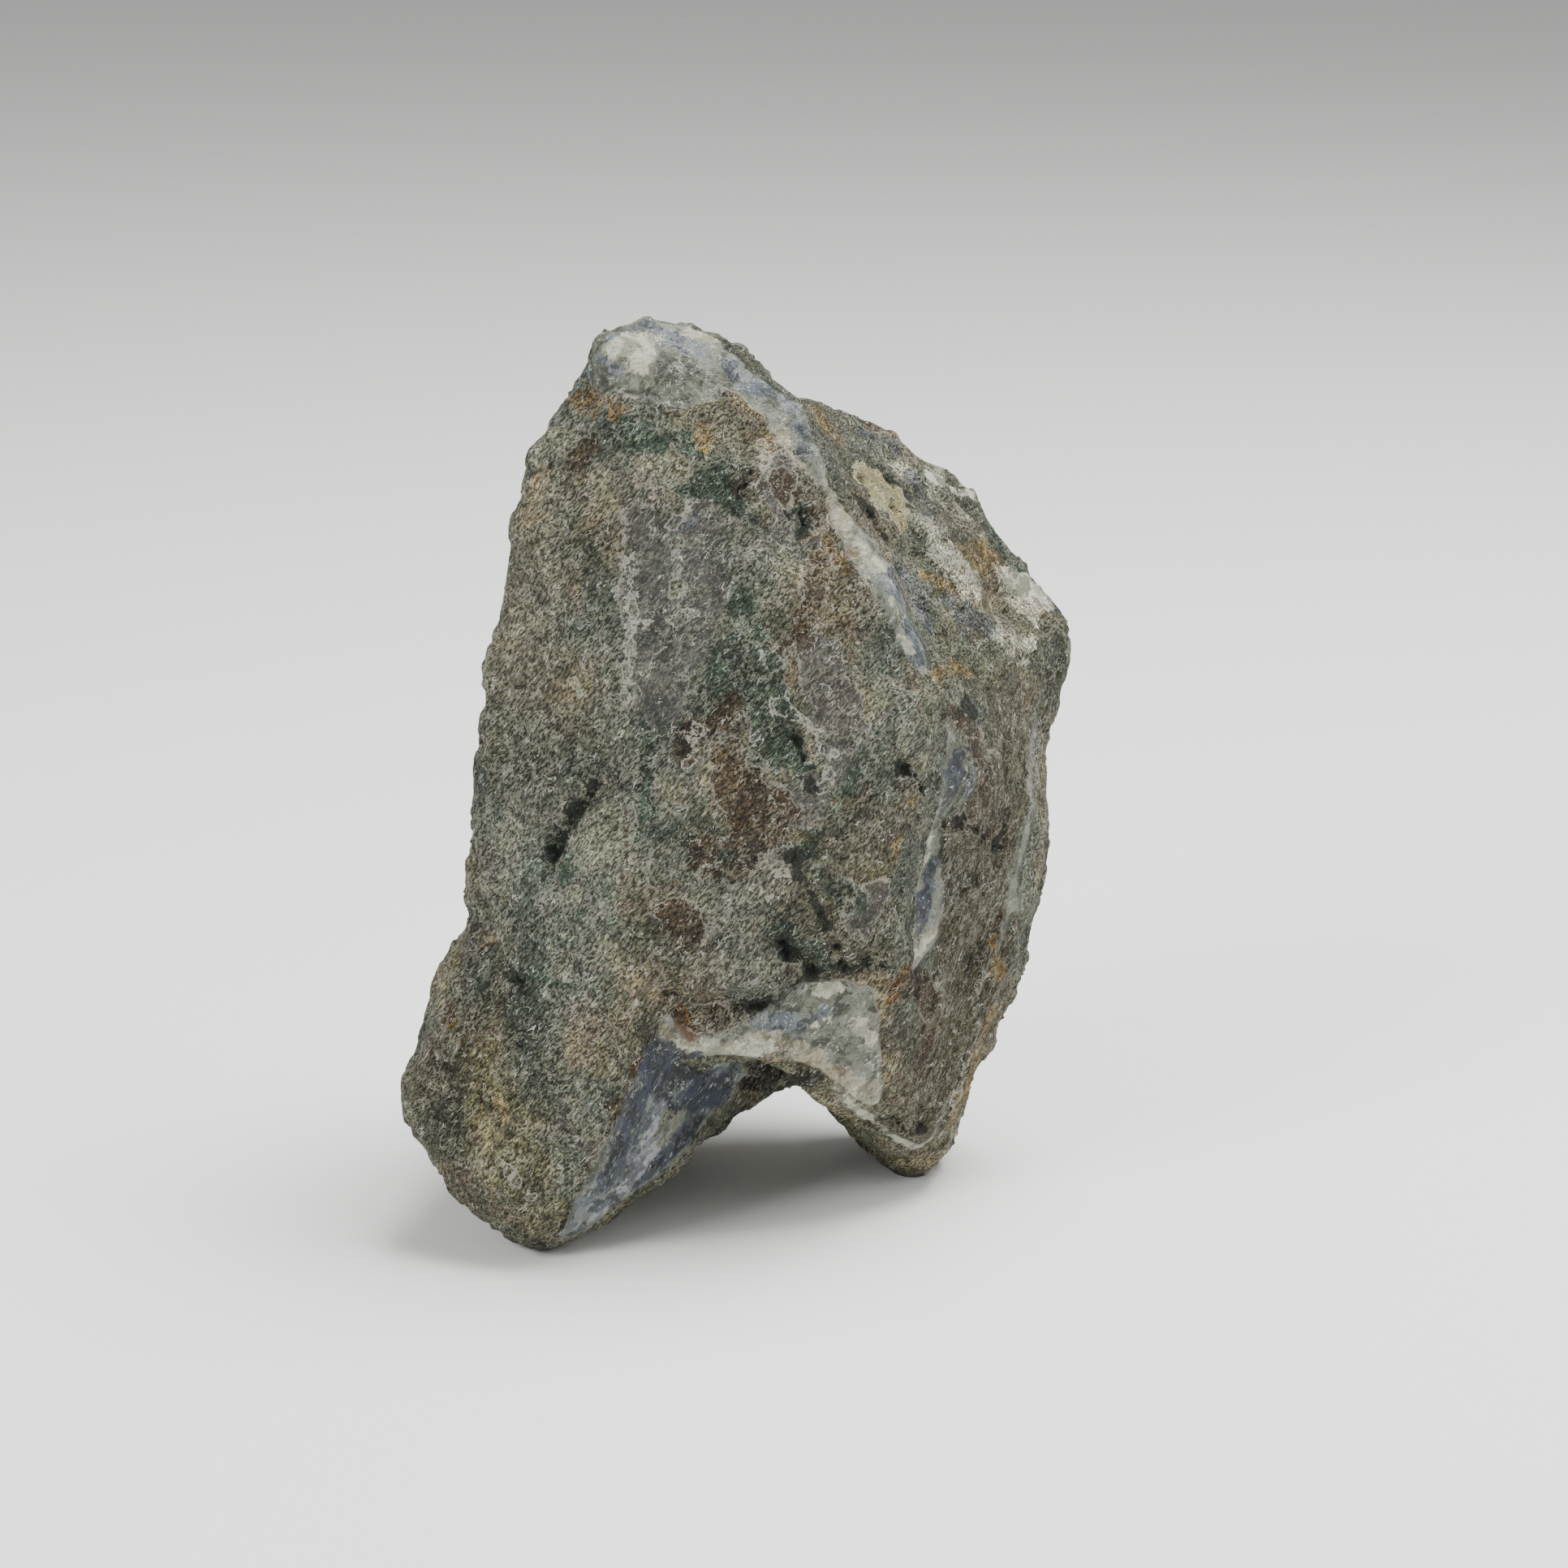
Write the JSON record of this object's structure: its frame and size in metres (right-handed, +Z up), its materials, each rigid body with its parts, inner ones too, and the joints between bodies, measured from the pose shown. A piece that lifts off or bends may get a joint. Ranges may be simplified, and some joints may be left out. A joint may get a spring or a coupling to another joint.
{
  "type": "blue lace agate geode",
  "caption": "Broken upright lump of grey-green host rock with a vein of pale blue banded agate, standing on its worn corners.",
  "frame": {"origin": "on the ground, under the middle of the stone's bounding box", "axes": "+Z up, along the stone's longest way; -Y is the broad broken face over the notch; +X is the side of the jutting elbow"},
  "size_m": [0.0898, 0.0678, 0.124],
  "materials": {
    "host_rock": "rough broken stone with a waxy agate vein"
  },
  "bodies": {
    "root": {"geode": "host_rock"}
  },
  "joints": []
}
